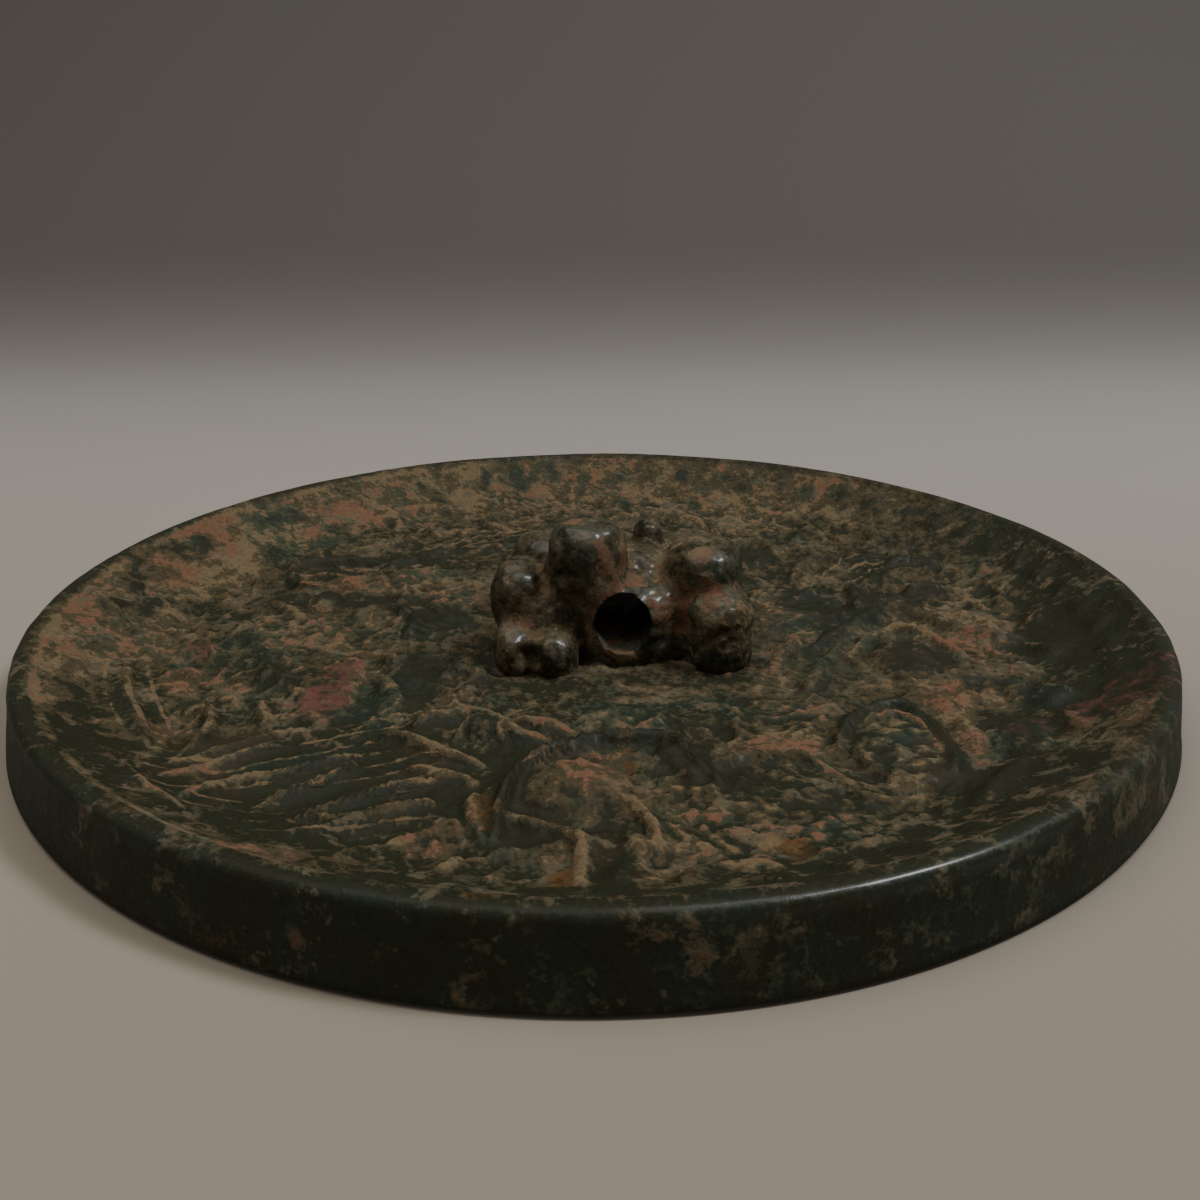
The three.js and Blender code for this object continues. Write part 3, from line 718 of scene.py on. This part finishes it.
def spread(values, pairs, counts, rounds):
    """Each corner's value averaged with its neighbours', many times over."""
    for _ in range(rounds):
        total = np.bincount(pairs[:, 0], values[pairs[:, 1]], len(values))
        total += np.bincount(pairs[:, 1], values[pairs[:, 0]], len(values))
        values = 0.4 * values + 0.6 * total / counts
    return values


def hollow_depth(mesh, rounds):
    """How deep each corner lies below its smoothed surroundings, in metres."""
    flat = np.empty(len(mesh.edges) * 2, np.int32)
    mesh.edges.foreach_get("vertices", flat)
    pairs = flat.reshape(-1, 2)
    places = corners_of(mesh)
    counts = np.maximum(np.bincount(pairs.ravel(), minlength=len(places)), 1)
    smooth = np.stack([spread(places[:, axis], pairs, counts, rounds) for axis in range(3)], 1)
    return ((smooth - places) * normals_of(mesh)).sum(1)


def set_mask(mesh, name, values):
    layer = mesh.attributes.new(name, "FLOAT", "POINT")
    layer.data.foreach_set("value", np.ascontiguousarray(values, np.float32))


def knob_place(at):
    """A place given in knob shares, in metres."""
    return np.array([KNOB_X + at[0] * KNOB_WIDTH / 2, KNOB_Y + at[1] * KNOB_DEPTH / 2,
                     at[2] * KNOB_HEIGHT + PLATE])


def knob_spots(places, spots):
    """1 in the middle of each round spot of the knob, falling to 0 at its edge."""
    inside = np.zeros(len(places))
    for at, size in spots:
        distance = np.linalg.norm(places - knob_place(at), axis=1)
        inside = np.maximum(inside, smoothstep(size, size * 0.4, distance))
    return inside


def towards(angle, degrees, start, end):
    """1 on the side of the disc that lies at some degrees, falling to 0 away from it."""
    return smoothstep(start, end, np.cos(angle - math.radians(degrees)))


def dish_earth_and_shade(places, hollow, valley):
    """Earth on the dish: in patches and on worn edges, less on teeth and in blotches of the slope, and less
    in the fine creases and in the front-left field's valleys as painted shade.
    """
    u, v = places[:, 0] / LIP_RADIUS, places[:, 1] / LIP_RADIUS
    radius = np.hypot(u, v)
    angle = np.arctan2(v, u)
    slope = smoothstep(0.78, 0.84, radius) * smoothstep(0.968, 0.955, radius)
    back_left = 0.5 + 0.5 * np.cos(angle - math.radians(150))
    right = towards(angle, -5, 0.4, 1)
    front = towards(angle, -90, 0.3, 1)
    behind = towards(angle, 80, 0.2, 0.9)
    front_left = oval(u, v, *PALE_HIGH)
    edges = np.clip(-hollow - 0.15, 0, 1) * smoothstep(-0.35, 0.25, fractal(places / LIP_RADIUS, 4, 2, 12))
    # Less earth in the fine creases, and in the valleys of the front-left field, is painted shade that
    # darkens them
    earth = DISH_EARTH - 0.14 * front_left + (0.1 - 0.26 * front_left) * valley - 0.12 * hollow
    earth += 0.32 * edges * (radius < 0.95)
    earth += slope * (0.07 + 0.15 * back_left - 0.14 * right - 0.14 * front + 0.08 * behind)
    earth += PATCH_EARTH * np.maximum(ovals(u, v, EARTH_PATCHES), ovals(u, v, SALMON_PATCHES))
    earth -= DARK_PATCH * ovals(u, v, DARK_PATCHES) + 0.1 * oval(u, v, *CALM)
    earth += CREST_CHANGE * (crests(u, v, PALE_CRESTS) - crests(u, v, DARK_CRESTS))
    earth += (0.5 * scales(u, v) - 0.3 * ovals(u, v, SCALED)) * (1 - front_left)
    blotches = smoothstep(-0.05, 0.35, fractal(places / LIP_RADIUS, 15, 3, 14)) * slope * back_left
    teeth = tooth_shape(radius * LIP_RADIUS, angle) * slope
    return earth - TOOTH_DARK * teeth - BLOTCH_DARK * blotches


def set_patina_masks(mesh):
    """Puts on the mesh where earth, warm and cool tones, worn metal, fine lines, red and rust lie; the
    earth mask also holds painted shade.
    """
    places = corners_of(mesh)
    x, y, z = places.T
    u, v = x / LIP_RADIUS, y / LIP_RADIUS
    radius = np.hypot(u, v)
    angle = np.arctan2(v, u)
    hollow = np.clip(hollow_depth(mesh, 6) / 0.00012, -1, 1) * smoothstep(0.985, 0.97, radius)
    valley = np.clip(hollow_depth(mesh, 60) / 0.0007, -1, 1)
    rim = smoothstep(0.962, 0.975, radius)
    wall = smoothstep(0.985, 0.992, radius)
    knob = smoothstep(0.0015, 0.004, z - dish_height(radius * LIP_RADIUS)) * smoothstep(0.34, 0.3, radius)
    earth_spots = knob_spots(places, KNOB_EARTH)
    off_bore = np.hypot(x - KNOB_X, z - HOLE_HEIGHT)
    in_bore = smoothstep(HOLE_RADIUS + 0.0002, HOLE_RADIUS, off_bore) * knob
    mouth = smoothstep(*MOUTH_BAND, off_bore) * (1 - in_bore) * (x < KNOB_X) * knob

    # Earth on the dish, on rim and wall, on the knob, round the cord hole and in the groove at the lip,
    # with painted shade where the dish's creases get less earth and the inside of the cord hole gets none
    earth = dish_earth_and_shade(places, hollow, valley) * (1 - rim) * (1 - knob)
    earth += rim * RIM_EARTH + wall * WALL_EARTH * towards(angle, -40, 0.3, 1)
    earth += knob * (KNOB_SKIN_EARTH + 0.28 * np.clip(hollow + valley, 0, 1) + 0.6 * earth_spots)
    # No earth inside the cord hole: painted shade that keeps the hole dark
    earth = (earth + 0.5 * mouth) * (1 - in_bore)
    groove = smoothstep(0.0006, 0.0002, np.abs(radius * LIP_RADIUS - SLOPE_TOP_RADIUS + LIP_STEP))
    uneven = GROOVE_EARTH + 0.3 * fractal(places / LIP_RADIUS, 8, 3, 15)
    earth += uneven * groove * towards(angle, -150, -0.4, 0.3)
    set_mask(mesh, "earth", earth)
    teal = ovals(u, v, TEAL_PATCHES)
    warmth = (ovals(u, v, SALMON_PATCHES) - 0.7 * teal) * (1 - knob) * (1 - rim)
    set_mask(mesh, "warmth", warmth + 0.6 * earth_spots - 0.7 * wall)

    # Metal worn bare on the knob, along the lip and a little on the dish
    on_lip = smoothstep(0.974, 0.985, radius) * smoothstep(RIM_HEIGHT - 0.0017, RIM_HEIGHT - 0.0004, z)
    rubbed = 0.08 + 0.5 * towards(angle, -71, 0.94, 0.99)
    on_knob = knob * np.clip(0.34 - 0.35 * hollow - 0.25 * valley, 0.05, 0.6) * (1 - in_bore)
    worn = np.maximum(on_knob, rubbed * on_lip)
    set_mask(mesh, "worn", np.maximum(worn, np.clip(-0.07 * hollow, 0, 0.07) * (radius < 0.96)))

    comb, steps = comb_fields(u, v)
    set_mask(mesh, "comb", comb * (1 - knob))
    set_mask(mesh, "comb_steps", steps)
    bridge = knob * oval(u, v, *BRIDGE) * smoothstep(0.0125, 0.0095, z)
    inside_rim = smoothstep(0.985, 0.97, radius) * (1 - knob)
    red = np.maximum(ovals(u, v, RED_PATCHES) * inside_rim, 0.62 * ovals(u, v, RED_STREAK))
    set_mask(mesh, "red", np.maximum(red, 0.55 * bridge))
    set_mask(mesh, "rust", np.maximum(ovals(u, v, RUST_PATCHES) * inside_rim, 0.45 * bridge))


def made(tree, kind, inputs=None, **settings):
    """A new node with its settings, whose inputs are given as sockets to link or values to set."""
    item = tree.nodes.new(kind)
    for name, value in settings.items():
        setattr(item, name, value)
    for socket, value in (inputs or {}).items():
        if isinstance(value, bpy.types.NodeSocket):
            tree.links.new(value, item.inputs[socket])
        else:
            item.inputs[socket].default_value = value
    return item


def noise_value(tree, place, scale, detail=3, roughness=0.6, distortion=0):
    """Noise stretched to run from about 0 to 1."""
    item = made(tree, "ShaderNodeTexNoise", {
        "Vector": place, "Scale": scale, "Detail": detail, "Roughness": roughness,
        "Distortion": distortion})
    return band(tree, item.outputs["Fac"], 0.32, 0.68, "LINEAR")


def band(tree, value, start, end, shape="SMOOTHSTEP"):
    item = made(tree, "ShaderNodeMapRange", {"Value": value, "From Min": start, "From Max": end},
                interpolation_type=shape)
    return item.outputs["Result"]


def calculated(tree, operation, *values):
    return made(tree, "ShaderNodeMath", dict(enumerate(values)), operation=operation).outputs["Value"]


def blended(tree, share, first, second, way="MIX"):
    item = made(tree, "ShaderNodeMix", {0: share, 6: first, 7: second}, data_type="RGBA", blend_type=way)
    return item.outputs[2]


def new_group(name, inputs, outputs):
    tree = bpy.data.node_groups.new(name, "ShaderNodeTree")
    for label, kind in inputs:
        tree.interface.new_socket(label, in_out="INPUT", socket_type=kind)
    for label, kind in outputs:
        tree.interface.new_socket(label, in_out="OUTPUT", socket_type=kind)
    return tree, tree.nodes.new("NodeGroupInput"), tree.nodes.new("NodeGroupOutput")


def skin_group():
    """Colour, roughness and fine height of old bronze under earth, from how much of each there is."""
    tree, given, result = new_group(
        "bronze_skin",
        [("Earth", "NodeSocketFloat"), ("Warmth", "NodeSocketFloat"), ("Worn", "NodeSocketFloat"),
         ("Red", "NodeSocketFloat"), ("Rust", "NodeSocketFloat"), ("Comb", "NodeSocketFloat"),
         ("Comb Steps", "NodeSocketFloat")],
        [("Color", "NodeSocketColor"), ("Roughness", "NodeSocketFloat"), ("Height", "NodeSocketFloat"),
         ("Coat Weight", "NodeSocketFloat")],
    )
    place = made(tree, "ShaderNodeTexCoord").outputs["Object"]
    broad = noise_value(tree, place, 80, 3, 0.6, 0.6)
    patches = noise_value(tree, place, 290, 4, 0.6, 0.6)
    specks = noise_value(tree, place, 700, 3, 0.65, 0.3)
    grain = noise_value(tree, place, 2200, 2, 0.6)
    tints = noise_value(tree, place, 120, 3, 0.6, 0.6)
    fine_tints = noise_value(tree, place, 520, 3, 0.6, 0.3)
    hue = calculated(tree, "MULTIPLY_ADD", fine_tints, 0.3, calculated(tree, "MULTIPLY", tints, 0.7))

    # Colours of the metal, the film and the earth, cooler or warmer from place to place
    cool = calculated(tree, "MULTIPLY_ADD", given.outputs["Warmth"], -0.4, hue)
    dark = blended(tree, band(tree, cool, 0.55, 0.95), OLIVE_BLACK, GREEN_BLACK)
    dark = blended(tree, band(tree, broad, 0.6, 0.95), dark, BROWN_BLACK)
    middle = blended(tree, band(tree, cool, 0.4, 0.8), BROWN_FILM, GREEN_FILM)
    warm = calculated(tree, "MULTIPLY_ADD", given.outputs["Warmth"], 0.4, hue)
    middle = blended(tree, band(tree, patches, 0.55, 0.9), middle, PALE_FILM)
    sand = blended(tree, band(tree, warm, 0.42, 0.72), SAND, SALMON)
    sand = blended(tree, band(tree, fine_tints, 0.6, 0.95), sand, GREY_GREEN)

    # Fine lines of hair and feathers, wavering and broken
    sway = calculated(tree, "ADD", broad, -0.5)
    turn = calculated(tree, "MULTIPLY_ADD", sway, 0.4, given.outputs["Comb Steps"])
    wave = calculated(tree, "COSINE", calculated(tree, "MULTIPLY", turn, 2 * math.pi))
    lines = calculated(tree, "MULTIPLY", band(tree, wave, 0.66, 0.96), band(tree, patches, 0.15, 0.45))
    lines = calculated(tree, "MULTIPLY", lines, given.outputs["Comb"])

    # How much earth shows, broken up at several sizes
    cover = calculated(tree, "MULTIPLY_ADD", patches, 0.38, given.outputs["Earth"])
    cover = calculated(tree, "MULTIPLY_ADD", specks, 0.4, cover)
    cover = calculated(tree, "MULTIPLY_ADD", broad, 0.26, cover)
    cover = calculated(tree, "MULTIPLY_ADD", grain, 0.16, cover)
    cover = calculated(tree, "MULTIPLY_ADD", lines, 0.46, cover)
    cover = calculated(tree, "MULTIPLY_ADD", given.outputs["Comb"], -0.12, cover)
    cover = calculated(tree, "ADD", cover, -0.62)
    film = band(tree, cover, 0.16, 0.38)
    crust = band(tree, cover, 0.44, 0.66)
    colour = blended(tree, film, dark, middle)
    colour = blended(tree, crust, colour, sand)
    stained = calculated(tree, "MULTIPLY_ADD", patches, 0.5, calculated(tree, "MULTIPLY", specks, 0.5))
    red = band(tree, calculated(tree, "MULTIPLY_ADD", stained, 1.6, given.outputs["Red"]), 1.1, 2.3)
    colour = blended(tree, red, colour, blended(tree, fine_tints, DEEP_RED, PALE_RED))
    rust = band(tree, calculated(tree, "MULTIPLY_ADD", stained, 1.6, given.outputs["Rust"]), 1.1, 2.7)
    colour = blended(tree, rust, colour, RUST)
    shade = band(tree, grain, 0.0, 1.0, "LINEAR")
    colour = blended(tree, 0.5, colour, blended(tree, shade, (0.4, 0.4, 0.4, 1), (1, 1, 1, 1)), "MULTIPLY")

    rough = calculated(tree, "MULTIPLY_ADD", film, 0.14, 0.62)
    rough = calculated(tree, "MULTIPLY_ADD", crust, 0.12, rough)
    rough = calculated(tree, "MULTIPLY_ADD", given.outputs["Worn"], -0.38, rough)
    rough = calculated(tree, "MULTIPLY_ADD", specks, 0.1, rough)
    height = calculated(tree, "MULTIPLY_ADD", specks, 0.6, calculated(tree, "MULTIPLY", grain, 0.3))
    height = calculated(tree, "MULTIPLY_ADD", crust, 0.5, height)
    height = calculated(tree, "MULTIPLY_ADD", patches, 0.5, height)
    height = calculated(tree, "MULTIPLY_ADD", lines, 0.8, height)
    smoothed = calculated(tree, "MULTIPLY_ADD", given.outputs["Worn"], -0.6, 1.0)
    height = calculated(tree, "MULTIPLY", height, smoothed)
    bare = calculated(tree, "MULTIPLY_ADD", crust, -0.7, 0.75)
    coat = calculated(tree, "MULTIPLY", given.outputs["Worn"], bare)
    tree.links.new(colour, result.inputs["Color"])
    tree.links.new(rough, result.inputs["Roughness"])
    tree.links.new(height, result.inputs["Height"])
    tree.links.new(coat, result.inputs["Coat Weight"])
    return tree


def skin_material(name, group, amounts, bump):
    """A bronze whose skin amounts are constants, or the names of the mesh's own masks."""
    material = bpy.data.materials.new(name)
    material.use_nodes = True
    tree = material.node_tree
    skin = made(tree, "ShaderNodeGroup", node_tree=group)
    for label, amount in amounts.items():
        if isinstance(amount, str):
            mask = made(tree, "ShaderNodeAttribute", attribute_name=amount)
            tree.links.new(mask.outputs["Fac"], skin.inputs[label])
        else:
            skin.inputs[label].default_value = amount
    surface = made(tree, "ShaderNodeBump", {
        "Height": skin.outputs["Height"], "Strength": bump, "Distance": 0.0001})
    shader = tree.nodes["Principled BSDF"]
    tree.links.new(skin.outputs["Color"], shader.inputs["Base Color"])
    tree.links.new(skin.outputs["Roughness"], shader.inputs["Roughness"])
    tree.links.new(skin.outputs["Coat Weight"], shader.inputs["Coat Weight"])
    tree.links.new(surface.outputs["Normal"], shader.inputs["Normal"])
    shader.inputs["Specular IOR Level"].default_value = 0.3
    shader.inputs["Coat Roughness"].default_value = 0.22
    return material


def finish_materials(mesh):
    """Patina over the back and the wall, and a plainer darkened polish on the underside."""
    group = skin_group()
    mesh.materials.clear()
    mesh.materials.append(skin_material("bronze_patina", group, {
        "Earth": "earth", "Warmth": "warmth", "Worn": "worn", "Red": "red", "Rust": "rust",
        "Comb": "comb", "Comb Steps": "comb_steps"}, 0.8))
    face = skin_material("bronze_polished_face", group, {
        "Earth": 0.1, "Warmth": 0.0, "Worn": 1.0, "Red": 0.0, "Rust": 0.0,
        "Comb": 0.0, "Comb Steps": 0.0}, 0.15)
    face.node_tree.nodes["Principled BSDF"].inputs["Metallic"].default_value = 0.5
    mesh.materials.append(face)
    normals = np.empty(len(mesh.polygons) * 3)
    mesh.polygons.foreach_get("normal", normals)
    mesh.polygons.foreach_set("material_index", (normals[2::3] < -0.98).astype(np.int32))
    mesh.polygons.foreach_set("use_smooth", [True] * len(mesh.polygons))


def studio():
    """A pale sweep: floor that curves up into a backdrop, with painted shade that darkens it away from the
    mirror and on the floor's right, and painted light that makes the floor behind the mirror lighter.
    """
    bend = 0.3
    start = 0.2
    bm = bmesh.new()
    outline = [(-1.2, 0), (start, 0)]
    for step in range(1, 25):
        angle = step * math.pi / 48
        outline.append((start + bend * math.sin(angle), bend - bend * math.cos(angle)))
    outline.append((start + bend, 1.4))
    corners = [bm.verts.new((-1.6, y, z)) for y, z in outline]
    edges = [bm.edges.new(pair) for pair in zip(corners[:-1], corners[1:])]
    swept = bmesh.ops.extrude_edge_only(bm, edges=edges)
    moved = [item for item in swept["geom"] if isinstance(item, bmesh.types.BMVert)]
    bmesh.ops.translate(bm, verts=moved, vec=(3.2, 0, 0))
    bmesh.ops.recalc_face_normals(bm, faces=bm.faces)
    floor = mesh_object(bm, "studio_floor")
    floor.data.polygons.foreach_set("use_smooth", [True] * len(floor.data.polygons))
    material = bpy.data.materials.new("pale_floor")
    material.use_nodes = True
    tree = material.node_tree
    texture_place = made(tree, "ShaderNodeTexCoord").outputs["Object"]
    place = made(tree, "ShaderNodeSeparateXYZ", {"Vector": texture_place})
    # Painted light and shade in the floor's colour: lighter behind the mirror, darker on the right, and
    # darkening up the backdrop
    far = band(tree, place.outputs["Y"], -0.1, 0.2)
    in_front = blended(tree, band(tree, place.outputs["X"], -0.08, 0.06), FLOOR_LEFT, FLOOR_RIGHT_PAINTED_SHADE)
    colour = blended(tree, far, in_front, FLOOR_BEHIND_PAINTED_LIGHT)
    back = band(tree, calculated(tree, "ADD", place.outputs["Y"], place.outputs["Z"]), 0.0, 0.36)
    colour = blended(tree, back, colour, BACKDROP_PAINTED_SHADE)
    shader = tree.nodes["Principled BSDF"]
    tree.links.new(colour, shader.inputs["Base Color"])
    shader.inputs["Roughness"].default_value = 0.8
    floor.data.materials.append(material)


def area_light(name, at, aim, size, power, colour):
    lamp = bpy.data.lights.new(name, "AREA")
    lamp.shape = "RECTANGLE"
    lamp.size, lamp.size_y = size
    lamp.energy = power
    lamp.color = colour
    light = bpy.data.objects.new(name, lamp)
    light.location = at
    light.rotation_euler = (Vector(aim) - Vector(at)).to_track_quat("-Z", "Y").to_euler()
    bpy.context.scene.collection.objects.link(light)


def camera():
    lens = bpy.data.cameras.new("camera")
    lens.lens = CAMERA_LENS
    lens.sensor_width = 36
    lens.clip_start = 0.001
    view = bpy.data.objects.new("camera", lens)
    view.matrix_world = (
        Matrix.Translation((0, -CAMERA_BACK, CAMERA_UP))
        @ Matrix.Rotation(-CAMERA_YAW, 4, "Z")
        @ Matrix.Rotation(math.pi / 2 - CAMERA_PITCH, 4, "X")
        @ Matrix.Rotation(CAMERA_ROLL, 4, "Z")
    )
    bpy.context.scene.collection.objects.link(view)
    bpy.context.scene.camera = view


mirror = turned_disc()
carve_disc(mirror)
join_and_bore(mirror, worn_knob(), cord_bore())
set_patina_masks(mirror.data)
finish_materials(mirror.data)
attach(mirror, "root")
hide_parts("mirror")

studio()
camera()
area_light("window", (0.52, 0.02, 0.81), (0, 0, 0), (0.14, 0.2), 4.1, (0.97, 0.98, 1))
area_light("ceiling", (-0.2, 0.1, 1.0), (0, 0, 0), (0.9, 0.9), 4.9, (1, 0.95, 0.88))
world = bpy.data.worlds.new("room_light")
world.use_nodes = True
world.node_tree.nodes["Background"].inputs["Color"].default_value = (0.8, 0.76, 0.72, 1)
world.node_tree.nodes["Background"].inputs["Strength"].default_value = 0.17
bpy.context.scene.world = world
